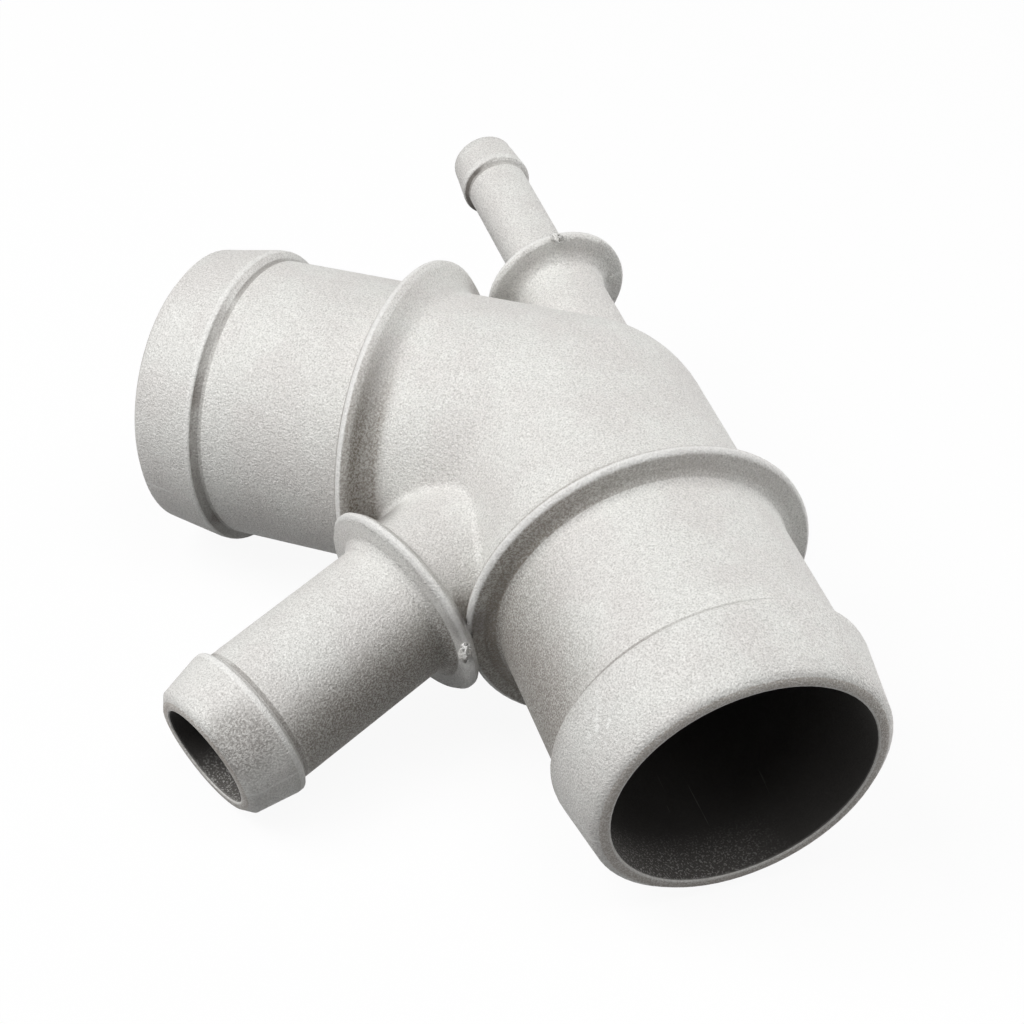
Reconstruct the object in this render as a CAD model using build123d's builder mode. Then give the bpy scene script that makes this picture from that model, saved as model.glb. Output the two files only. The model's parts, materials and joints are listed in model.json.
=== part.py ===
# A coolant pipe fitting: one aluminium casting that joins four hoses.
#
# The axes of all four ports lie in one plane, the parting plane of its mould. Two large ports meet
# in an elbow. The branch port leaves the inside of the elbow, and the small vent port leaves its
# outside, straight opposite the outlet. Each port is a spigot: a pipe out of the body, a collar
# that stops the hose, a neck that the hose grips, and a barb that keeps it on.

import os
from dataclasses import dataclass
from math import cos, radians, sin, tan

from build123d import *

os.makedirs("parts", exist_ok=True)

# Driving dimensions, in millimetres and degrees.
# Distances along a port start at the foot of its axis, the point nearest to the elbow point.
# A collar's distance is given past the outside of the elbow's pipe, which it has to clear.

# Directions of the ports in the parting plane
inlet_angle = 180.0
outlet_angle = -48.0
branch_angle = 244.6
vent_angle = outlet_angle + 180

# How far the axis of a port passes the elbow point, positive to the left of its direction
branch_offset = 1.3
vent_offset = -9.1

# The two large ports
large_neck_diameter = 38.0
large_wall = 2.4
large_collar_height = 3.7
large_collar_thickness = 1.8
large_barb_height = 1.2
large_barb_taper = 9.0
large_crest_land = 0.8
large_shoulder_length = 0.8
inlet_collar_clearance = 2.9
inlet_grip_length = 24.4
inlet_barb_length = 9.6
outlet_collar_clearance = 3.6
outlet_grip_length = 23.9
outlet_barb_length = 10.3

# The branch port
branch_neck_diameter = 18.8
branch_wall = 2.5
branch_base_step = 0.8
branch_collar_height = 4.05
branch_collar_thickness = 1.7
branch_barb_height = 0.95
branch_barb_taper = 12.0
branch_crest_land = 0.7
branch_shoulder_length = 0.7
branch_collar_clearance = 10.6
branch_grip_length = 25.8
branch_barb_length = 7.2

# The vent port
vent_neck_diameter = 8.8
vent_wall = 1.7
vent_base_step = 1.8
vent_collar_height = 5.55
vent_collar_thickness = 1.7
vent_barb_height = 0.7
vent_barb_taper = 6.0
vent_crest_land = 0.6
vent_shoulder_length = 0.3
vent_collar_clearance = 11.8
vent_grip_length = 26.4
vent_barb_length = 7.0

# Blends between the ports and the body
elbow_blend = 8.0
branch_blend = 1.0
vent_blend = 2.5

# Roundings of the cast edges, each laid out in short flats around the port
rounding_flat = 1.4
large_base_fillet = 3.0
large_root_fillet = 1.5
large_rim_round = 0.6
large_crest_round = 0.3
large_lip_round = 1.1
branch_base_fillet = 1.2
branch_root_fillet = 1.2
branch_rim_round = 0.6
branch_crest_round = 0.2
branch_lip_round = 1.3
vent_base_fillet = 2.0
vent_root_fillet = 0.6
vent_rim_round = 0.5
vent_crest_round = 0.15
vent_lip_round = 0.8


@dataclass
class Port:
    """One hose spigot: where its axis runs, and the section along it."""

    angle: float
    offset: float
    neck_radius: float
    base_step: float
    wall: float
    collar_height: float
    collar_thickness: float
    collar_clearance: float
    grip_length: float
    barb_height: float
    barb_length: float
    barb_taper: float
    crest_land: float
    shoulder_length: float
    base_fillet: float
    root_fillet: float
    rim_round: float
    crest_round: float
    lip_round: float

    @property
    def direction(self):
        return Vector(cos(radians(self.angle)), sin(radians(self.angle)), 0)

    @property
    def foot(self):
        return self.direction.rotate(Axis.Z, 90) * self.offset

    @property
    def axis(self):
        return Axis(self.foot, self.direction)

    @property
    def section_plane(self):
        """Local X runs outwards from the axis, and local Y along it towards the mouth."""
        return Plane(self.foot, x_dir=self.direction.rotate(Axis.Z, -90), z_dir=(0, 0, 1))

    @property
    def base_radius(self):
        return self.neck_radius + self.base_step

    @property
    def bore_radius(self):
        return self.neck_radius - self.wall

    @property
    def collar_radius(self):
        return self.neck_radius + self.collar_height

    @property
    def crest_radius(self):
        return self.neck_radius + self.barb_height

    @property
    def collar_start(self):
        """The side of the collar that faces the body."""
        return large_neck_diameter / 2 + self.collar_clearance

    @property
    def collar_end(self):
        return self.collar_start + self.collar_thickness

    @property
    def crest(self):
        return self.collar_start + self.grip_length

    @property
    def shoulder(self):
        return self.crest - self.shoulder_length

    @property
    def taper_start(self):
        return self.crest + self.crest_land

    @property
    def mouth(self):
        return self.crest + self.barb_length

    @property
    def mouth_radius(self):
        """What the tapered barb leaves of its outer radius at the mouth."""
        return self.crest_radius - (self.mouth - self.taper_start) * tan(radians(self.barb_taper))


def large_port(angle, collar_clearance, grip_length, barb_length):
    return Port(
        angle=angle,
        offset=0,
        neck_radius=large_neck_diameter / 2,
        base_step=0,
        wall=large_wall,
        collar_height=large_collar_height,
        collar_thickness=large_collar_thickness,
        collar_clearance=collar_clearance,
        grip_length=grip_length,
        barb_height=large_barb_height,
        barb_length=barb_length,
        barb_taper=large_barb_taper,
        crest_land=large_crest_land,
        shoulder_length=large_shoulder_length,
        base_fillet=large_base_fillet,
        root_fillet=large_root_fillet,
        rim_round=large_rim_round,
        crest_round=large_crest_round,
        lip_round=large_lip_round,
    )


inlet = large_port(inlet_angle, inlet_collar_clearance, inlet_grip_length, inlet_barb_length)
outlet = large_port(outlet_angle, outlet_collar_clearance, outlet_grip_length, outlet_barb_length)

branch = Port(
    angle=branch_angle,
    offset=branch_offset,
    neck_radius=branch_neck_diameter / 2,
    base_step=branch_base_step,
    wall=branch_wall,
    collar_height=branch_collar_height,
    collar_thickness=branch_collar_thickness,
    collar_clearance=branch_collar_clearance,
    grip_length=branch_grip_length,
    barb_height=branch_barb_height,
    barb_length=branch_barb_length,
    barb_taper=branch_barb_taper,
    crest_land=branch_crest_land,
    shoulder_length=branch_shoulder_length,
    base_fillet=branch_base_fillet,
    root_fillet=branch_root_fillet,
    rim_round=branch_rim_round,
    crest_round=branch_crest_round,
    lip_round=branch_lip_round,
)

vent = Port(
    angle=vent_angle,
    offset=vent_offset,
    neck_radius=vent_neck_diameter / 2,
    base_step=vent_base_step,
    wall=vent_wall,
    collar_height=vent_collar_height,
    collar_thickness=vent_collar_thickness,
    collar_clearance=vent_collar_clearance,
    grip_length=vent_grip_length,
    barb_height=vent_barb_height,
    barb_length=vent_barb_length,
    barb_taper=vent_barb_taper,
    crest_land=vent_crest_land,
    shoulder_length=vent_shoulder_length,
    base_fillet=vent_base_fillet,
    root_fillet=vent_root_fillet,
    rim_round=vent_rim_round,
    crest_round=vent_crest_round,
    lip_round=vent_lip_round,
)


def rounded(before, corner, after, radius):
    """Points that round a corner of an outline: the ends of short flats along its arc."""
    inwards = (Vector(*corner) - Vector(*before)).normalized()
    outwards = (Vector(*after) - Vector(*corner)).normalized()
    turn = inwards.get_signed_angle(outwards, Vector(0, 0, 1))
    setback = radius * tan(radians(abs(turn)) / 2)
    flats = max(1, round(radius * radians(abs(turn)) / rounding_flat))
    flat_length = 2 * radius * sin(radians(abs(turn)) / flats / 2)
    points = [Vector(*corner) - inwards * setback]
    for step in range(flats):
        along = inwards.rotate(Axis.Z, turn * (step + 0.5) / flats)
        points.append(points[-1] + along * flat_length)
    return points


def add_pipe(port):
    """The plain pipe of a port, from the middle of the body out to its collar."""
    with BuildSketch(port.section_plane) as section:
        with Locations((port.base_radius / 2, port.collar_start / 2)):
            Rectangle(port.base_radius, port.collar_start)
    revolve(section.sketch, axis=port.axis)


def add_spigot(port):
    """The outside of a port, from the middle of the body out to its mouth."""
    corners = [
        (port.base_radius, 0),
        (port.base_radius, port.collar_start),
        (port.collar_radius, port.collar_start),
        (port.collar_radius, port.collar_end),
        (port.neck_radius, port.collar_end),
        (port.neck_radius, port.shoulder),
        (port.crest_radius, port.crest),
        (port.crest_radius, port.taper_start),
        (port.mouth_radius, port.mouth),
        (0, port.mouth),
    ]
    sharp = 0
    roundings = [
        port.base_fillet,
        port.rim_round,
        port.rim_round,
        port.root_fillet,
        sharp,
        port.crest_round,
        sharp,
        port.lip_round,
    ]
    outline = [corners[0]]
    for before, corner, after, radius in zip(corners, corners[1:], corners[2:], roundings):
        outline += rounded(before, corner, after, radius) if radius else [corner]
    with BuildSketch(port.section_plane) as section:
        with BuildLine():
            Polyline(*outline, corners[-1], (0, 0), close=True)
        make_face()
    revolve(section.sketch, axis=port.axis)


def bore_out(port):
    """The straight bore of a port, from the middle of the body out through its mouth."""
    with BuildSketch(port.section_plane) as section:
        with Locations((port.bore_radius / 2, port.mouth / 2)):
            Rectangle(port.bore_radius, port.mouth)
    revolve(section.sketch, axis=port.axis, mode=Mode.SUBTRACT)


# The casting is made in its parting plane, around the elbow point. First come the bare pipes and
# the blends between them. A ball of the pipe's own diameter rounds the outside of the elbow.
with BuildPart() as casting:
    Sphere(inlet.base_radius)
    add_pipe(inlet)
    add_pipe(outlet)
    fillet(casting.edges().filter_by(GeomType.ELLIPSE), radius=elbow_blend)
    add_pipe(branch)
    fillet(casting.edges(Select.NEW), radius=branch_blend)
    add_pipe(vent)
    fillet(casting.edges(Select.NEW), radius=vent_blend)

    # Then each pipe gets its spigot, and all of them are bored out.
    for port in (inlet, outlet, branch, vent):
        add_spigot(port)
    Sphere(inlet.bore_radius, mode=Mode.SUBTRACT)
    for port in (inlet, outlet, branch, vent):
        bore_out(port)


def low_point(port, distance, radius, rounding, up):
    """Lowest point of a rounded rim when the casting is turned so that up points upwards."""
    outwards = (up - port.direction * up.dot(port.direction)).normalized()
    centre = port.foot + port.direction * (distance - rounding)
    return centre - outwards * (radius - rounding) - up * rounding


def resting_direction():
    """Direction in the casting that points up when it lies on a table.

    It lies on the collars of its two large ports and on the lip of its branch. Each turn of the
    loop lays a table against the lowest points that these rims had on the table before it.
    """
    up = Vector(0, 0, 1)
    for _ in range(12):
        at_inlet = low_point(inlet, inlet.collar_end, inlet.collar_radius, inlet.rim_round, up)
        at_outlet = low_point(outlet, outlet.collar_end, outlet.collar_radius, outlet.rim_round, up)
        at_branch = low_point(branch, branch.mouth, branch.mouth_radius, branch.lip_round, up)
        up = (at_branch - at_inlet).cross(at_outlet - at_inlet).normalized()
    return up


# The casting lies on the table, with the inlet pointing to -X as seen from above.
up = resting_direction()
forwards = inlet.direction * -1
table = Plane(origin=(0, 0, 0), x_dir=forwards - up * up.dot(forwards), z_dir=up)
lying = table.to_local_coords(casting.part)
footprint = lying.bounding_box()

# The origin is on the table, under the middle of the casting.
with BuildPart() as pipe_casting:
    with Locations((-footprint.center().X, -footprint.center().Y, -footprint.min.Z)):
        add(lying)

pipe_casting.part.label = "pipe_casting"
export_step(pipe_casting.part, "parts/pipe_casting.step")
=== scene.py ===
# %% [markdown]
# # A coolant pipe fitting in blasted aluminium
# The object is one casting that joins four hoses: two wide ports that meet in an elbow, a
# middle-sized branch on the inside of the elbow, and a narrow vent on its outside.
# The CAD model already holds its form, so this lesson is about what a CAD model lacks: the soft
# skin that a cast and sand-blasted part has, painted highlights on its edges, its bores painted
# dark partly as shade, and the small scraps of metal that the mould and the grinder left behind.

# %% Load the imported model as a fixed frame
import json
from math import degrees, radians

import bmesh
import bpy
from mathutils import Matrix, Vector
from mathutils.geometry import intersect_line_line


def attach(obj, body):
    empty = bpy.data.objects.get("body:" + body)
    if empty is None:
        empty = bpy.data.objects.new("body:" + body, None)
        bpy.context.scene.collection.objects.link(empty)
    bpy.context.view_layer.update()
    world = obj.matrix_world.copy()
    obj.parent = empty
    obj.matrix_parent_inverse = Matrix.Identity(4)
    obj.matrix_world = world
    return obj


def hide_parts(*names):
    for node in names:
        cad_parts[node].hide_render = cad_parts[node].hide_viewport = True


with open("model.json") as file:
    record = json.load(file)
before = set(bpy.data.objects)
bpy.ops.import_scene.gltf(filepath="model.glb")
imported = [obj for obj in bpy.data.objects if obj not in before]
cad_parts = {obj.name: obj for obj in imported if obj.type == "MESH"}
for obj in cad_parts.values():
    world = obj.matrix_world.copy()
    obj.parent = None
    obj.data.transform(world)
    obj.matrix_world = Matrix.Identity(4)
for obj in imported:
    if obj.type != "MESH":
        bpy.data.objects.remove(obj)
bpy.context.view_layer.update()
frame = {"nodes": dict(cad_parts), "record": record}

millimetre = 0.001

# %% [markdown]
# ## The four ports
# Most of what follows sits at a place along one of the ports: a rim, a crest, a lip. Each place
# could be given in the room's own terms, but the ports point four ways. So every port is measured
# along its own axis, from the crest of its barb: its mouth lies past the crest, its collar behind.
# The record says where the crests are and which way the ports point. The other sizes are the ones
# that the casting was drawn with.

# %% The sizes of the ports, in millimetres
# The foot is where the axis of a port starts, in the middle of the elbow. All that ends in "at" is
# measured from the crest.
port_sizes = {
    "inlet": dict(foot_to_crest=46.8, collar_at=-24.9, collar_thickness=1.8, collar_radius=22.7,
                  neck_radius=19.0, bore_radius=16.6, shoulder_at=-1.2, mouth_at=9.12),
    "outlet": dict(foot_to_crest=47.0, collar_at=-24.4, collar_thickness=1.8, collar_radius=22.7,
                   neck_radius=19.0, bore_radius=16.6, shoulder_at=-1.2, mouth_at=9.82),
    "branch": dict(foot_to_crest=55.8, collar_at=-26.2, collar_thickness=1.7, collar_radius=13.45,
                   neck_radius=9.4, bore_radius=6.9, shoulder_at=-1.05, mouth_at=6.8),
    "vent": dict(foot_to_crest=57.55, collar_at=-26.75, collar_thickness=1.7, collar_radius=9.95,
                 neck_radius=4.4, bore_radius=2.7, shoulder_at=-0.6, mouth_at=6.65),
}
print("Ports:", ", ".join(port_sizes))

# %% Where the ports are, in metres
mounts = {mount["name"]: mount for mount in frame["record"]["mounts"]}
ports = {}
for port_name, sizes in port_sizes.items():
    barb = mounts[port_name + "_barb"]
    port = {size: value * millimetre for size, value in sizes.items()}
    port["crest"] = Vector(barb["pos_m"])
    port["direction"] = Vector(barb["axis"]).normalized()
    port["crest_radius"] = barb["dims"]["r_mm"] * millimetre
    ports[port_name] = port
    print(port_name, "points to", [round(v, 2) for v in port["direction"]])

inlet, outlet = ports["inlet"], ports["outlet"]
elbow_point = intersect_line_line(inlet["crest"], inlet["crest"] + inlet["direction"],
                                  outlet["crest"], outlet["crest"] + outlet["direction"])[0]
parting_normal = inlet["direction"].cross(outlet["direction"]).normalized()
print("The parting plane leans", round(degrees(parting_normal.angle((0, 0, 1))), 1), "degrees")

# %% [markdown]
# ## The casting's own surface
# The real thing is one piece of metal, so it stays one piece here. It could be modelled again from
# spun profiles, but the three blends where the ports run into each other are hard to get right by
# hand, and the CAD model has them exactly. So the CAD mesh is copied and its loose triangles are
# merged. The copy stands for the CAD node, which itself is never changed.

# %% Copy the CAD node and merge its triangles
cad_node = frame["nodes"]["pipe_casting"]
casting = bpy.data.objects.new("casting", cad_node.data.copy())
bpy.context.scene.collection.objects.link(casting)


def work_on(piece, mode="EDIT"):
    """Only this piece is selected and active, in that mode."""
    if bpy.context.object and bpy.context.object.mode != "OBJECT":
        bpy.ops.object.mode_set(mode="OBJECT")
    bpy.ops.object.select_all(action="DESELECT")
    piece.select_set(True)
    bpy.context.view_layer.objects.active = piece
    if mode != "OBJECT":
        bpy.ops.object.mode_set(mode=mode)


work_on(casting)
bpy.ops.mesh.select_all(action="SELECT")
bpy.ops.mesh.remove_doubles(threshold=0.002 * millimetre)
bpy.ops.mesh.tris_convert_to_quads(face_threshold=radians(1), shape_threshold=radians(60))
bpy.ops.object.mode_set(mode="OBJECT")
casting.data.materials.clear()
print("The merged casting has", len(casting.data.polygons), "faces")

# %% [markdown]
# ## Edges that a blast of sand leaves
# A cast edge is never knife-sharp. The roundings of the collars and barbs are in the CAD model, but
# the edges of the bores were left square. On the real part they are cut clean and then blasted,
# which breaks them by a tenth or two of a millimetre. A Bevel modifier would also find every crease
# inside the body, so the bore edges are selected by their place and bevelled on their own.

# %% Find the edge of each bore
edge_reach = 0.05 * millimetre


def along_and_out(point, port):
    """How far a point is past the crest of a port, and how far out from the port's axis."""
    offset = Vector(point) - port["crest"]
    along = offset.dot(port["direction"])
    return along, (offset - port["direction"] * along).length


def is_bore_edge(point):
    """Whether a point lies on the edge between a bore and its mouth."""
    for port in ports.values():
        along, out = along_and_out(point, port)
        if abs(along - port["mouth_at"]) < edge_reach:
            if abs(out - port["bore_radius"]) < edge_reach:
                return True
    return False


work_on(casting)
bpy.ops.mesh.select_all(action="DESELECT")
shape = bmesh.from_edit_mesh(casting.data)
for edge in shape.edges:
    if all(is_bore_edge(vertex.co) for vertex in edge.verts):
        edge.select_set(True)
shape.select_flush(True)
bmesh.update_edit_mesh(casting.data)
print("Found", sum(edge.select for edge in shape.edges), "edge segments round the bores")

# %% Break the edge of each bore
bpy.ops.mesh.bevel(offset=0.18 * millimetre, segments=3, affect="EDGES")
bpy.ops.object.mode_set(mode="OBJECT")
print("With its bores broken the casting has", len(casting.data.polygons), "faces")

# %% [markdown]
# ## Smooth where it is round
# The mesh is made of flat faces, so its shading has to be smoothed, but the creases between the
# ports and their collars have to stay. Smoothing by angle does that. Long faces of a neck meet
# short faces of a rounding, and a plain average of their normals would shade the whole neck wrong.
# A Weighted Normal modifier lets the large faces win.

# %% Smooth the casting
crease_angle = 38
work_on(casting, "OBJECT")
bpy.ops.object.shade_smooth_by_angle(angle=radians(crease_angle))
weighting = casting.modifiers.new("weighted normals", "WEIGHTED_NORMAL")
weighting.mode = "FACE_AREA"
weighting.keep_sharp = True
bpy.ops.object.modifier_apply(modifier=weighting.name)
print("Smooth, with a crease wherever faces meet at more than", crease_angle, "degrees")

# %% [markdown]
# ## Scraps that the mould and the grinder left
# Where the branch's collar runs into the collar of the outlet, the two halves of the mould left a
# small bead of metal. The vent's collar carries two nubs where runners were snapped off. They are
# too small and too uneven for the CAD model, and could be sculpted, but a lump needs no more than
# this: each starts as an icosphere that is stretched into place in edit mode, roughened with a
# seeded random move, and joined to the casting.

# %% Model the scraps
def add_scrap(place, size, seed):
    """A small lump of cast metal at a place, stretched to a size."""
    bpy.ops.mesh.primitive_ico_sphere_add(subdivisions=3, radius=0.5, location=place)
    scrap = bpy.context.object
    bpy.ops.object.mode_set(mode="EDIT")
    bpy.ops.transform.resize(value=size, center_override=place)
    bpy.ops.transform.vertex_random(offset=0.4 * min(size), uniform=0.4, seed=seed)
    bpy.ops.mesh.vertices_smooth(factor=0.4, repeat=1)
    bpy.ops.mesh.faces_shade_smooth()
    bpy.ops.object.mode_set(mode="OBJECT")
    bpy.ops.object.transform_apply(location=True, rotation=True, scale=True)
    return scrap


bead = add_scrap((0.0031, -0.0317, 0.0186), (0.0015, 0.0013, 0.0030), seed=3)
large_nub = add_scrap((-0.0122, 0.0291, 0.0406), (0.0017, 0.0015, 0.0014), seed=5)
small_nub = add_scrap((-0.0062, 0.0355, 0.0327), (0.0009, 0.0012, 0.0016), seed=8)
print("Each scrap has", len(bead.data.polygons), "faces")

# %% Join them to the casting
work_on(casting, "OBJECT")
for scrap in (bead, large_nub, small_nub):
    scrap.select_set(True)
bpy.ops.object.join()
print("The casting with its scraps has", len(casting.data.polygons), "faces")

# %% [markdown]
# ## Building blocks for the finishes
# Nodes could be wired one by one in the editor. Written out, they are easier to repeat and to
# compare, as long as the writing stays short. So a few helpers come first, for a node, for the
# sums between nodes and for node groups. More of them follow where they are first needed.

# %% Helpers for single nodes
def add_node(tree, kind, inputs=None, **settings):
    """A node with its settings, and a value or a link in each of the named inputs."""
    node = tree.nodes.new(kind)
    for name, value in settings.items():
        setattr(node, name, value)
    for name, value in (inputs or {}).items():
        if isinstance(value, bpy.types.NodeSocket):
            tree.links.new(value, node.inputs[name])
        else:
            node.inputs[name].default_value = value
    return node


def object_point(tree):
    """The point that is being shaded, in metres from the origin."""
    return add_node(tree, "ShaderNodeTexCoord").outputs["Object"]


# %% Helpers for sums and vectors
def calculate(tree, operation, *values, clamp=False):
    """The result of a Math node."""
    inputs = dict(enumerate(values))
    return add_node(tree, "ShaderNodeMath", inputs, operation=operation,
                    use_clamp=clamp).outputs[0]


def combine(tree, operation, *vectors):
    """The result of a Vector Math node: a vector, or a number where vectors are measured."""
    inputs = dict(enumerate(vectors))
    node = add_node(tree, "ShaderNodeVectorMath", inputs, operation=operation)
    measured = operation in ("DOT_PRODUCT", "LENGTH", "DISTANCE")
    return node.outputs["Value" if measured else "Vector"]


def stretch(tree, vector, factor):
    """A vector made longer or shorter."""
    inputs = {0: vector, "Scale": factor}
    return add_node(tree, "ShaderNodeVectorMath", inputs, operation="SCALE").outputs["Vector"]


# %% Helpers for groups
def start_group(name, inputs, outputs):
    """An empty shader node group with its sockets, and its input and output nodes."""
    group = bpy.data.node_groups.new(name, "ShaderNodeTree")
    for in_out, sockets in (("INPUT", inputs), ("OUTPUT", outputs)):
        for socket_name, kind in sockets.items():
            group.interface.new_socket(socket_name, in_out=in_out, socket_type="NodeSocket" + kind)
    given = group.nodes.new("NodeGroupInput").outputs
    result = group.nodes.new("NodeGroupOutput").inputs
    return group, given, result


def place_group(tree, group, inputs):
    """A node group placed in a material or in another group."""
    return add_node(tree, "ShaderNodeGroup", inputs, node_tree=group).outputs


# %% [markdown]
# ## Where a point lies along a port
# The mask of a rim or a lip is easiest to write in the port's own terms: how far past the crest of
# its barb a point is, and how far out from its axis. A UV map along each port could say that too,
# but the ports run into each other, and a map would have to be cut where they do. Object
# coordinates need no cut: they give the point in metres, and a group turns it into millimetres
# along and out. Both finishes need it, so it is a group, built once.

# %% The place group
place_on_port, given, result = start_group(
    "place on a port",
    {"Crest": "Vector", "Direction": "Vector"},
    {"Along": "Float", "Out": "Float", "Sideways": "Vector"},
)
tree = place_on_port
offset = combine(tree, "SUBTRACT", object_point(tree), given["Crest"])
along = combine(tree, "DOT_PRODUCT", offset, given["Direction"])
sideways = combine(tree, "SUBTRACT", offset, stretch(tree, given["Direction"], along))
out = combine(tree, "LENGTH", sideways)
tree.links.new(calculate(tree, "DIVIDE", along, millimetre), result["Along"])
tree.links.new(calculate(tree, "DIVIDE", out, millimetre), result["Out"])
tree.links.new(combine(tree, "NORMALIZE", sideways), result["Sideways"])
print("Group:", place_on_port.name)

# %% [markdown]
# ## What the blast did along each port, and painted light and shade
# The nozzle reaches some places better than others. The flanks of the wide collars are only grazed,
# most of all where the branch stands in the way, so they stay rougher, and they are darker partly
# as that rough skin and partly as painted shade. The rims of the collars, the edge where a neck
# meets its collar, the inner lip of each mouth and the crests of most barbs get painted highlights.
# The sides on which the branch and the outlet face each other get painted shade. The step behind
# each barb gets a dark line of painted shade, with a fainter one in the corner at its foot, and the
# cut face of each mouth is a little darker than the cast skin.
# Nodes that read curvature could find edges by themselves, but they see only the mesh's own
# vertices, which are too far apart here. So each mark is found by where it lies along the port.

# %% Helpers for masks
def remap(tree, value, low, high, to_low=0.0, to_high=1.0):
    """A value mapped smoothly from one range to another, and held at its ends."""
    inputs = {"Value": value, "From Min": low, "From Max": high,
              "To Min": to_low, "To Max": to_high}
    mapping = add_node(tree, "ShaderNodeMapRange", inputs, interpolation_type="SMOOTHSTEP")
    return mapping.outputs["Result"]


def window(tree, value, low, high, softness):
    """A mask that is 1 from low to high, and fades to 0 over the softness on both sides."""
    rising = remap(tree, value, low - softness, low)
    falling = remap(tree, value, high + softness, high)
    return calculate(tree, "MULTIPLY", rising, falling)


def share(tree, mask, *amounts):
    """A mask made weaker, by amounts or by other masks."""
    for amount in amounts:
        mask = calculate(tree, "MULTIPLY", mask, amount)
    return mask


def highest(tree, values):
    """The highest of several masks."""
    top = values[0]
    for value in values[1:]:
        top = calculate(tree, "MAXIMUM", top, value)
    return top


# %% How the blast reached each port, and where light and shade are painted
# The flank of a collar is darkest on the side of the branch, and least dark on the far side: partly
# skin that the blast did not reach, partly painted shade. That starts at missed_from and is full at
# missed_in_full, counted from -1, on the far side, to 1, right next to the branch. The shaded side
# gets painted shade, and the crest of the barb gets a painted highlight of the given strength.
blast = {
    "inlet": dict(missed_at_least=0.05, missed_at_most=1.0, missed_from=0.1, worn_crest=0.6,
                  shaded_side=(0.0, 0.0, 0.0)),
    "outlet": dict(missed_at_least=0.05, missed_at_most=0.9, missed_from=-1.1, worn_crest=0.0,
                   shaded_side=(-0.40, -0.88, -0.27)),
    "branch": dict(missed_at_least=0.0, missed_at_most=0.15, missed_from=0.1, worn_crest=0.9,
                   shaded_side=(0.88, -0.42, -0.20)),
    "vent": dict(missed_at_least=0.0, missed_at_most=0.1, missed_from=0.1, worn_crest=0.4,
                 shaded_side=(0.0, 0.0, 0.0)),
}
missed_in_full = 0.72
for port_name, reached in blast.items():
    print("The crest of the", port_name, "has a painted highlight of", reached["worn_crest"])

# %% The marks group and what it measures
sizes_in_marks = ("collar_at", "collar_thickness", "collar_radius", "neck_radius", "bore_radius",
                  "crest_radius", "shoulder_at", "mouth_at")
mark_names = ("Rim", "Neck Edge", "Flank", "Corner", "Step", "Crest Edge", "Face", "Lip", "Shade")


def in_words(name):
    """The name of a size as it stands on a socket."""
    return name.replace("_", " ").title()


sockets = {"Crest": "Vector", "Direction": "Vector", "Shaded Side": "Vector"}
sockets.update((in_words(size), "Float") for size in sizes_in_marks)
sockets.update((in_words(name), "Float") for name in blast["inlet"] if name != "shaded_side")
port_marks, given, result = start_group(
    "marks of a port", sockets, {name: "Float" for name in mark_names})
tree = port_marks
on_port = place_group(tree, place_on_port,
                      {"Crest": given["Crest"], "Direction": given["Direction"]})
past_collar = calculate(tree, "SUBTRACT", on_port["Along"], given["Collar At"])
past_face = calculate(tree, "SUBTRACT", past_collar, given["Collar Thickness"])
inside_rim = calculate(tree, "SUBTRACT", given["Collar Radius"], on_port["Out"])
above_neck = calculate(tree, "SUBTRACT", on_port["Out"], given["Neck Radius"])
above_bore = calculate(tree, "SUBTRACT", on_port["Out"], given["Bore Radius"])
below_crest = calculate(tree, "SUBTRACT", given["Crest Radius"], on_port["Out"])
past_shoulder = calculate(tree, "SUBTRACT", on_port["Along"], given["Shoulder At"])
to_mouth = calculate(tree, "SUBTRACT", given["Mouth At"], on_port["Along"])
towards_branch = combine(tree, "DOT_PRODUCT", on_port["Sideways"], ports["branch"]["direction"])
towards_shade = combine(tree, "DOT_PRODUCT", on_port["Sideways"], given["Shaded Side"])
print("Group:", port_marks.name, "takes", len(given) - 1, "values")

# %% Marks of a collar, in millimetres
far = 9.0  # further than any mark is wide
flank_reach = 3.9

# The outer edge of the collar, and the edge where the neck leaves it: masks for painted highlights
rim = share(tree, window(tree, inside_rim, -0.3, 0.25, 0.3),
            window(tree, past_collar, 0.9, 2.1, 0.3))
neck_edge = share(tree, window(tree, past_face, 0.5, 0.62, 0.12),
                  window(tree, above_neck, -0.2, 0.25, 0.1))

# Both flat sides of the collar inside its rim, and the fillet behind it, which is streaked: darker
# partly as rough unblasted skin and partly as painted shade
behind_rim = window(tree, past_collar, -far, 0.7, 0.25)
inside_of_rim = window(tree, inside_rim, 0.6, far, 0.3)
shelter_and_shade = remap(tree, towards_branch, given["Missed From"], missed_in_full,
                  given["Missed At Least"], given["Missed At Most"])
streaks = add_node(tree, "ShaderNodeTexNoise", {"W": past_collar, "Scale": 1.3, "Detail": 1.0},
                   noise_dimensions="1D").outputs[0]
streaked_behind = highest(tree, [remap(tree, streaks, 0.35, 0.6, 1.0, 0.72),
                                 remap(tree, past_collar, 0.0, 1.0)])
flank = share(tree, highest(tree, [behind_rim, inside_of_rim]), shelter_and_shade,
              window(tree, inside_rim, -0.5, far, 0.1), window(tree, above_neck, 0.2, far, 0.4),
              remap(tree, past_collar, -flank_reach, -2.2), remap(tree, past_face, 0.75, 0.55),
              streaked_behind)
print("A missed flank reaches", flank_reach, "mm behind its collar")

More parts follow.
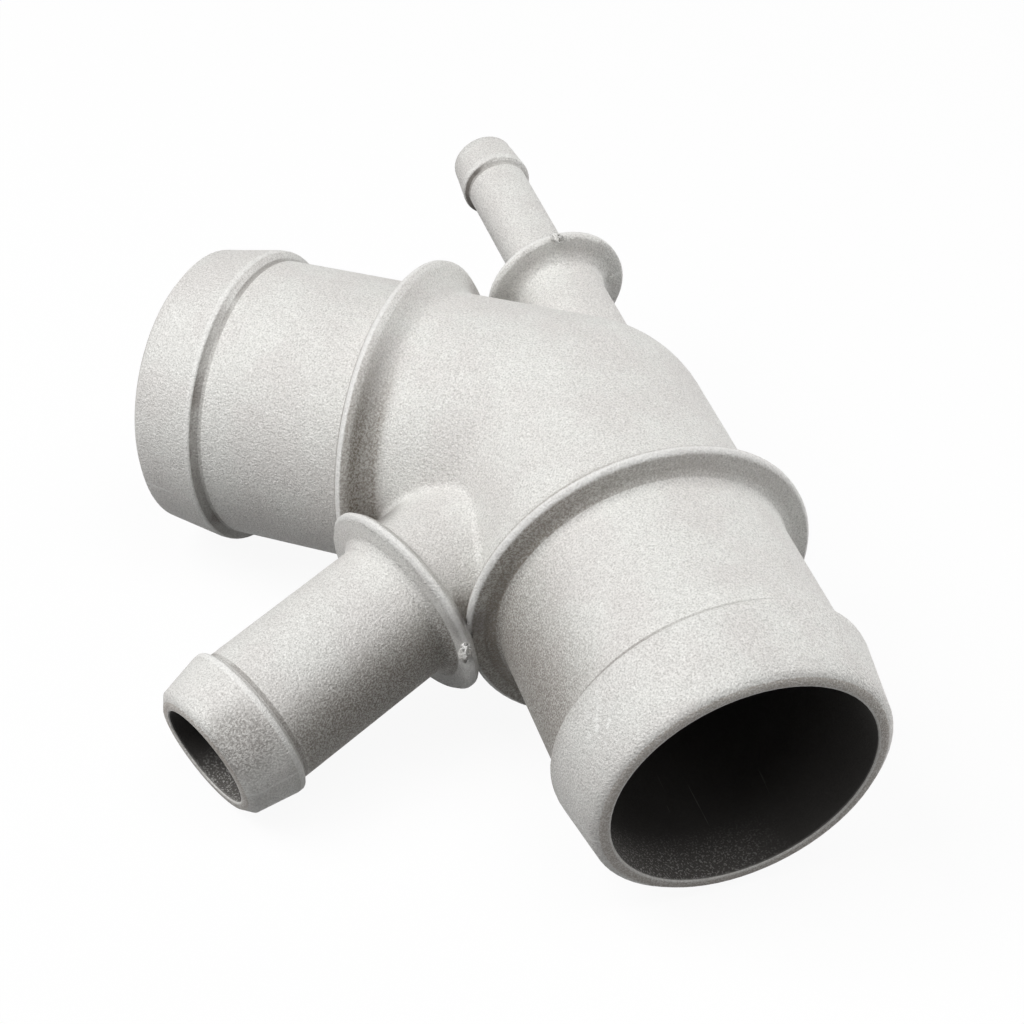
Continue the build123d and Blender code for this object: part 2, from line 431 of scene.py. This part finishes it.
# %% Marks of a barb and of a shaded side, in millimetres
# The corner at the foot of the step behind the barb and the step itself, for painted shade, and the
# edge of the crest above it, for a painted highlight
corner = share(tree, window(tree, past_shoulder, -0.42, 0.05, 0.15),
               window(tree, above_neck, -0.2, 0.3, 0.1))
step = share(tree, window(tree, past_shoulder, 0.0, 0.75, 0.1),
             window(tree, above_neck, 0.0, 2.0, 0.1), window(tree, below_crest, 0.22, far, 0.15),
             remap(tree, towards_branch, -0.1, 0.6, 0.08, 1.0))
crest_edge = share(tree, window(tree, past_shoulder, 0.45, 1.3, 0.15),
                   window(tree, below_crest, -0.1, 0.14, 0.08), given["Worn Crest"])

# The cut face of the mouth, and its inner lip, for a painted highlight
face = share(tree, window(tree, to_mouth, -0.3, 0.14, 0.08),
             window(tree, below_crest, 0.0, far, 0.2))
lip = share(tree, window(tree, to_mouth, -0.3, 0.35, 0.1),
            window(tree, above_bore, -0.1, 0.22, 0.1))

# The side of a neck that another pipe keeps in the dark
shade = share(tree, remap(tree, towards_shade, 0.4, 0.95),
              remap(tree, on_port["Along"], 2.0, -3.0), remap(tree, past_collar, -2.0, 1.0),
              remap(tree, below_crest, -0.7, -0.4))

masks = (rim, neck_edge, flank, corner, step, crest_edge, face, lip, shade)
for name, mask in zip(mark_names, masks):
    tree.links.new(mask, result[name])
print("Group:", port_marks.name, "gives", ", ".join(mark_names))


# %% The marks of all four ports together
def marks_of_all_ports(tree):
    """Each mark as one mask over the whole casting."""
    placed = []
    for port_name, port in ports.items():
        inputs = {"Crest": port["crest"], "Direction": port["direction"]}
        inputs.update((in_words(size), port[size] / millimetre) for size in sizes_in_marks)
        inputs.update((in_words(name), value) for name, value in blast[port_name].items())
        placed.append(place_group(tree, port_marks, inputs))
    return {name: highest(tree, [outputs[name] for outputs in placed]) for name in mark_names}


# %% [markdown]
# ## The grain of a blasted casting
# Sand-blasting leaves dents of two or three tenths of a millimetre, with fine bright and dark
# points between them where grains struck bare metal or left a pit, over the slight unevenness of
# the mould. A photograph of such a surface could be wrapped round the part, but it would show its
# seams. Noise in space has none, and three sizes of it make the dents, the points and the clouds.
# Only the dents become relief, because the others are too fine or too wide to be felt. Everything
# is in metres, so a scale of 3300 gives dents of about three tenths of a millimetre.

# %% A helper for noise
def noise(tree, point, scale, detail=2.0, roughness=0.5):
    """A soft random value over space, mostly near one half."""
    inputs = {"Vector": point, "Scale": scale, "Detail": detail, "Roughness": roughness}
    return add_node(tree, "ShaderNodeTexNoise", inputs).outputs[0]


# %% The blasted grain group
points_to_dents = 1.4
blasted_grain, given, result = start_group(
    "blasted grain", {"Scale": "Float"}, {"Height": "Float", "Points": "Float", "Clouds": "Float"})
tree = blasted_grain
position = object_point(tree)
fine_scale = calculate(tree, "MULTIPLY", given["Scale"], points_to_dents)
tree.links.new(noise(tree, position, given["Scale"], roughness=0.7), result["Height"])
tree.links.new(noise(tree, position, fine_scale, detail=1.0), result["Points"])
tree.links.new(noise(tree, position, 110.0, roughness=0.6), result["Clouds"])
print("Group:", blasted_grain.name)

# %% [markdown]
# ## The blasted skin
# Blasted aluminium is metal, but its skin is so rough that it reads as a light, slightly warm grey
# with hardly any reflection. It could be a fully metallic shader, but that would mirror the white
# room. A Principled shader with a little metal and a high roughness comes closer. Clouds vary its
# grey and points speckle it, the bright ones partly as painted glints. Over that lie the marks of
# each port, from the darkest to the brightest: some are what the blast and the handling left on
# the real part, and some are painted shade and painted highlights.

# %% Helpers for colours
def mix_colours(tree, factor, first, second, blend_type="MIX"):
    """Two colours mixed by a mask."""
    inputs = {"Factor": factor, 6: first, 7: second}
    mix = add_node(tree, "ShaderNodeMix", inputs, data_type="RGBA", blend_type=blend_type)
    return mix.outputs[2]


def lay_over(tree, colour, coats):
    """A colour with others laid over it, each through its own mask, the last one on top."""
    for mask, (red, green, blue) in coats:
        colour = mix_colours(tree, mask, colour, (red, green, blue, 1))
    return colour


# %% Helpers for materials
def start_material(name):
    """A new material and its empty node tree."""
    material = bpy.data.materials.new(name)
    material.use_nodes = True
    material.node_tree.nodes.clear()
    return material, material.node_tree


def matt_surface(tree, grain, colour, roughest, smoothest, relief, strength):
    """A Principled shader in that colour, with the grain in its roughness and its relief."""
    roughness = remap(tree, grain["Points"], 0.3, 0.7, roughest, smoothest)
    grained = add_node(tree, "ShaderNodeBump", {
        "Height": grain["Height"], "Distance": relief * millimetre, "Strength": strength})
    shader = add_node(tree, "ShaderNodeBsdfPrincipled", {
        "Base Color": colour, "Roughness": roughness, "Normal": grained.outputs[0]})
    add_node(tree, "ShaderNodeOutputMaterial", {"Surface": shader.outputs[0]})
    return shader


# %% The grey of the skin
blasted_skin, tree = start_material("blasted aluminium skin")
grain = place_group(tree, blasted_grain, {"Scale": 3300.0})
position = object_point(tree)
warmer_grey, lighter_grey = (0.65, 0.633, 0.612, 1), (0.685, 0.68, 0.655, 1)
clouded = mix_colours(tree, remap(tree, grain["Clouds"], 0.35, 0.65), warmer_grey, lighter_grey)
paler = remap(tree, grain["Points"], 0.35, 0.65, 0.90, 1.10)
uneven_blast = add_node(tree, "ShaderNodeCombineColor", {0: paler, 1: paler, 2: paler})
grey = mix_colours(tree, 1.0, clouded, uneven_blast.outputs[0], "MULTIPLY")
dark_points = share(tree, remap(tree, grain["Points"], 0.42, 0.25), 0.4)
# Bright points: partly bare metal struck by grains, partly painted glints
bright_specks_and_glints = share(tree, remap(tree, grain["Points"], 0.62, 0.78), 0.45)
speckled = lay_over(tree, grey, [
    (dark_points, (0.36, 0.34, 0.32)),
    (bright_specks_and_glints, (0.92, 0.92, 0.90)),
])
print("Material:", blasted_skin.name, "is started")

# %% A helper for round masks
def near(tree, point, place, inner, outer):
    """A round mask about a place in millimetres: 1 within the inner radius, 0 past the outer."""
    distance = combine(tree, "DISTANCE", point, Vector(place) * millimetre)
    return remap(tree, distance, outer * millimetre, inner * millimetre)


# %% What the blast missed, and painted shade
mark = marks_of_all_ports(tree)
# Painted shade on the sides where the branch and the outlet face each other
speckled_painted_shade = share(tree, mark["Shade"], remap(tree, grain["Points"], 0.65, 0.4, 0.45, 0.85))
# The collar flanks, darker partly as rough unblasted skin and partly as painted shade
flank_skin_and_shade = share(tree, mark["Flank"], remap(tree, grain["Height"], 0.60, 0.40, 0.45, 1.0))
# Painted shade in two tight corners by the collars of the inlet and the outlet
at_inlet_collar = near(tree, position, (-14.2, -20.8, 24.2), inner=1.0, outer=5.0)
at_outlet_collar = near(tree, position, (2.6, -30.2, 22.5), inner=0.8, outer=4.0)
painted_corner_shade = share(tree, highest(tree, [at_inlet_collar, at_outlet_collar]), 0.75)
branch_stain = share(tree, near(tree, position, (-14.8, -55.6, 15.5), inner=2.5, outer=6.0),
                     remap(tree, grain["Height"], 0.60, 0.40, 0.25, 0.85))
# Painted shade in the step behind each barb and, fainter, in the corner at its foot
painted_step_shade = share(tree, highest(tree, [mark["Step"], share(tree, mark["Corner"], 0.6)]),
                   remap(tree, grain["Clouds"], 0.62, 0.4, 0.55, 0.9))
rough_face = share(tree, mark["Face"], remap(tree, grain["Points"], 0.65, 0.4, 0.25, 0.65))
# Over the skin: painted shade, the partly shaded flanks, a stain and the darker cut faces
missed = lay_over(tree, speckled, [
    (speckled_painted_shade, (0.175, 0.154, 0.130)),
    (flank_skin_and_shade, (0.225, 0.199, 0.168)),
    (painted_corner_shade, (0.14, 0.125, 0.115)),
    (branch_stain, (0.26, 0.245, 0.23)),
    (painted_step_shade, (0.13, 0.115, 0.10)),
    (rough_face, (0.40, 0.35, 0.305)),
])
print("The skin has", len(tree.nodes), "nodes so far")

# %% [markdown]
# ## Painted highlights, scuffs and the parting line
# Rims, neck edges, lips and barb crests get painted highlights, and the outlet's barb has a small
# scuff.
# The parting line, where the halves of the mould met, was ground off and shows as a faint, broken
# line. It could be a thin ridge in the mesh, but nothing of it can be felt any more, so it is a
# colour only. It lies in the plane of the port axes, and the trimmed places don't have it.

# %% Lay the painted highlights and the bright marks over the skin
painted_edge_highlights = highest(tree, [mark["Neck Edge"], mark["Lip"], mark["Crest Edge"]])
scuffs = share(tree, near(tree, position, (26.6, -47.6, 29.0), inner=1.5, outer=3.6),
               remap(tree, noise(tree, position, 900.0), 0.56, 0.64))
from_elbow = combine(tree, "SUBTRACT", position, elbow_point)
off_plane = combine(tree, "DOT_PRODUCT", from_elbow, parting_normal)
off_plane = calculate(tree, "ABSOLUTE", calculate(tree, "DIVIDE", off_plane, millimetre))
trimmed = highest(tree, [mark[name] for name in ("Rim", "Flank", "Step", "Face", "Shade")])
parting_line = share(tree, remap(tree, off_plane, 0.28, 0.1),
                     remap(tree, noise(tree, position, 160.0), 0.45, 0.58),
                     calculate(tree, "SUBTRACT", 1.0, trimmed, clamp=True))
skin_colour = lay_over(tree, missed, [
    # Painted highlights on the rims and the other edges, then the scuff and the parting line
    (share(tree, mark["Rim"], 0.45), (0.84, 0.835, 0.82)),
    (share(tree, painted_edge_highlights, 0.45), (0.9, 0.9, 0.88)),
    (share(tree, scuffs, 0.5), (0.97, 0.97, 0.95)),
    (share(tree, parting_line, 0.5), (0.88, 0.88, 0.86)),
])
shader = matt_surface(tree, grain, skin_colour, roughest=0.75, smoothest=0.55, relief=0.2,
                      strength=1.0)
shader.inputs["Metallic"].default_value = 0.08
print("Material:", blasted_skin.name, "with", len(tree.nodes), "nodes")

# %% [markdown]
# ## The dark bores, partly painted shade
# No sand reaches far into the ports, so the bores keep the dark skin that the hot metal took from
# the mould and its coating. Their near-black colour is partly that skin and partly painted shade,
# for the shade deep in each hollow. The grey of the blast ends just inside each lip. The low side
# of each bore is lighter near its mouth, with grit on it, and pulling the core out of the mould
# left a few fine scratches along it. A black paint would look too even. So the bores get the same
# grain as the skin, in a dark grey, with masks along each port for the blasted end, the grit and
# the scratches.

# %% Where each bore is grey, gritty or scratched
bore_skin_and_shade, tree = start_material("cast bore, dark skin and painted shade")
grain = place_group(tree, blasted_grain, {"Scale": 3000.0})
# How far grit lies into each bore, in millimetres, and on which side of it
grit_places = {"inlet": (7.0, (0, 0, -1)), "outlet": (8.0, (-0.38, -0.38, -0.84)),
               "branch": (18.0, (0.3, -0.1, -0.95)), "vent": (4.0, (0, 0, -1))}
blasted_ends, low_places, drag_marks = [], [], []
for port_name, port in ports.items():
    on_port = place_group(tree, place_on_port,
                          {"Crest": port["crest"], "Direction": port["direction"]})
    sizes = port_sizes[port_name]
    reach, low_side = grit_places[port_name]
    inside = remap(tree, on_port["Out"], sizes["bore_radius"] + 0.35, sizes["bore_radius"] + 0.2)
    to_mouth = calculate(tree, "SUBTRACT", sizes["mouth_at"], on_port["Along"])
    blasted_ends.append(share(tree, inside, remap(tree, to_mouth, 0.5, 0.1)))
    downwards = combine(tree, "DOT_PRODUCT", on_port["Sideways"], low_side)
    low_places.append(share(tree, inside, remap(tree, downwards, 0.35, 1.0),
                            remap(tree, to_mouth, reach, 0.2 * reach)))
    # The scratches are noise that is drawn out along the bore, and so only changes round it.
    round_the_bore = stretch(tree, on_port["Sideways"], sizes["bore_radius"])
    drawn_out = share(tree, on_port["Along"], 0.03)
    along_the_bore = stretch(tree, port["direction"], drawn_out)
    streaks = noise(tree, combine(tree, "ADD", along_the_bore, round_the_bore), 2.6, detail=1.0)
    drag_marks.append(share(tree, inside, remap(tree, streaks, 0.70, 0.74)))
print("Masks for", len(low_places), "bores")

# %% The bore material
low_place = highest(tree, low_places)
grit = share(tree, low_place, remap(tree, grain["Points"], 0.52, 0.70))
broken = remap(tree, grain["Clouds"], 0.5, 0.6)
# The near-black base is partly the dark cast skin and partly painted shade
clouded = mix_colours(tree, grain["Clouds"], (0.034, 0.032, 0.030, 1), (0.062, 0.0585, 0.055, 1))
bore_colour = lay_over(tree, clouded, [
    (share(tree, low_place, 0.6), (0.16, 0.15, 0.14)),
    (share(tree, grit, 0.9), (0.5, 0.49, 0.47)),
    (share(tree, highest(tree, drag_marks), broken, 0.25), (0.4, 0.39, 0.37)),
    (share(tree, highest(tree, blasted_ends), 0.5), (0.45, 0.44, 0.42)),
])
shader = matt_surface(tree, grain, bore_colour, roughest=0.8, smoothest=0.6, relief=0.08,
                      strength=0.8)
shader.inputs["Metallic"].default_value = 0.0
shader.inputs["Specular IOR Level"].default_value = 0.3
print("Material:", bore_skin_and_shade.name, "with", len(tree.nodes), "nodes")

# %% [markdown]
# ## Give each face its finish
# The skin is on everything but the bores, so it comes first in the slots. The bore faces could be
# picked by hand, but a changed CAD model would lose the choice. So they are selected by
# place: inside a port they are no further from its axis than the bore, and in the middle of the
# body they are within the ball that joins the two large bores.

# %% Assign the materials
casting.data.materials.append(blasted_skin)
casting.data.materials.append(bore_skin_and_shade)
ball_radius = 16.9 * millimetre
blasted_end = 0.3 * millimetre
bore_margin = 0.1 * millimetre


def is_in_bore(point):
    """Whether the middle of a face lies in a bore or in the ball between the large bores."""
    if (Vector(point) - elbow_point).length < ball_radius:
        return True
    for port in ports.values():
        along, out = along_and_out(point, port)
        if -port["foot_to_crest"] < along < port["mouth_at"] - blasted_end:
            if out < port["bore_radius"] + bore_margin:
                return True
    return False


work_on(casting)
bpy.ops.mesh.select_all(action="DESELECT")
shape = bmesh.from_edit_mesh(casting.data)
for face in shape.faces:
    face.select_set(is_in_bore(face.calc_center_median()))
bmesh.update_edit_mesh(casting.data)
casting.active_material_index = 1
bpy.ops.object.material_slot_assign()
bpy.ops.object.mode_set(mode="OBJECT")
print("Bore faces:", sum(face.material_index == 1 for face in casting.data.polygons))

# %% Put the casting in the CAD node's place
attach(casting, "root")
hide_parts("pipe_casting")

# %% [markdown]
# ## A white floor that keeps the shadow
# The photograph has a plain white ground. A white floor would do, but the light that bounces off
# it would wash out the dark underside of the casting. So the floor looks white only to the camera
# and to the metal that mirrors it, through Light Path. A little of the plain shader is left in, so
# that the shadow under the casting stays. To soft bounced light the floor is a dark grey.
# The world works in the same way: white where it is seen, and giving no light otherwise.

# %% The floor
def seen_directly(tree):
    """1 for what the camera sees, also in a mirror or through glass, and 0 for soft light."""
    ways = add_node(tree, "ShaderNodeLightPath").outputs
    return highest(tree, [ways["Is Camera Ray"], ways["Is Glossy Ray"],
                          ways["Is Transmission Ray"]])


bpy.ops.mesh.primitive_plane_add(size=6.0, location=(0, 0, 0))
floor = bpy.context.object
floor.name = "floor"
floor_paint, tree = start_material("pale floor")
whiteness = 0.93
camera_ray = add_node(tree, "ShaderNodeLightPath").outputs["Is Camera Ray"]
paint_colour = mix_colours(tree, camera_ray, (0.1, 0.1, 0.1, 1), (0.9, 0.9, 0.9, 1))
paint = add_node(tree, "ShaderNodeBsdfDiffuse", {"Color": paint_colour})
white = add_node(tree, "ShaderNodeEmission", {"Color": (1, 1, 1, 1), "Strength": 1.0})
floor_mix = add_node(tree, "ShaderNodeMixShader", {
    0: share(tree, seen_directly(tree), whiteness), 1: paint.outputs[0], 2: white.outputs[0]})
add_node(tree, "ShaderNodeOutputMaterial", {"Surface": floor_mix.outputs[0]})
floor_paint.cycles.emission_sampling = "NONE"
floor.data.materials.append(floor_paint)
print("The floor is white to the camera")

# %% The world
world = bpy.data.worlds.new("white studio")
bpy.context.scene.world = world
world.use_nodes = True
tree = world.node_tree
tree.nodes.clear()
sky = add_node(tree, "ShaderNodeBackground",
               {"Color": (1, 1, 1, 1), "Strength": seen_directly(tree)})
add_node(tree, "ShaderNodeOutputWorld", {"Surface": sky.outputs[0]})
print("The world is white to the camera")

# %% [markdown]
# ## Studio light
# In the photograph what faces up is nearly white, what faces the camera from low down is dark, and
# the far edges are bright. One large lamp could light that, but it leaves the sides flat. So five
# square area lamps stand round the casting, all as large and as far off, and only their power
# differs. The strongest are on the upper left and behind, and the one on the right only fills in.

# %% Lamps
softbox_distance = 0.75
softbox_size = 0.45


def add_softbox(name, direction, power):
    """A square area lamp in that direction from the elbow, pointing back at it."""
    to_lamp = Vector(direction).normalized() * softbox_distance
    bpy.ops.object.light_add(type="AREA", location=elbow_point + to_lamp)
    lamp = bpy.context.object
    lamp.name = name
    lamp.data.shape = "SQUARE"
    lamp.data.size = softbox_size
    lamp.data.energy = power
    lamp.rotation_euler = (-to_lamp).to_track_quat("-Z", "Y").to_euler()


add_softbox("softbox above", (0.2, -0.1, 0.97), power=1.8)
add_softbox("softbox on the upper left", (-0.5, -0.35, 0.79), power=4.7)
add_softbox("softbox in front", (-0.55, -0.8, 0.3), power=1.0)
add_softbox("softbox on the right", (0.9, -0.3, 0.3), power=0.8)
add_softbox("softbox behind", (0.64, 0.77, 0.2), power=3.4)

# %% [markdown]
# ## Camera
# The camera stands where the photograph was taken from. It could be placed by eye, but the outlines
# of the round mouths and collars show the angle and the perspective at once, so its place and its
# lens were worked out from them.

# %% Camera
camera_place = (0.081845, -0.222563, 0.200355)
camera_turn = (52.19626, -3.34313, 23.79726)
bpy.ops.object.camera_add(location=camera_place)
camera = bpy.context.object
camera.rotation_euler = [radians(angle) for angle in camera_turn]
camera.data.lens = 79.298
camera.data.sensor_width = 36.0
camera.data.clip_start = 0.01
bpy.context.scene.camera = camera
bpy.context.scene.view_settings.view_transform = "Standard"
print("Camera", round((camera.location - elbow_point).length / millimetre), "mm from the elbow")
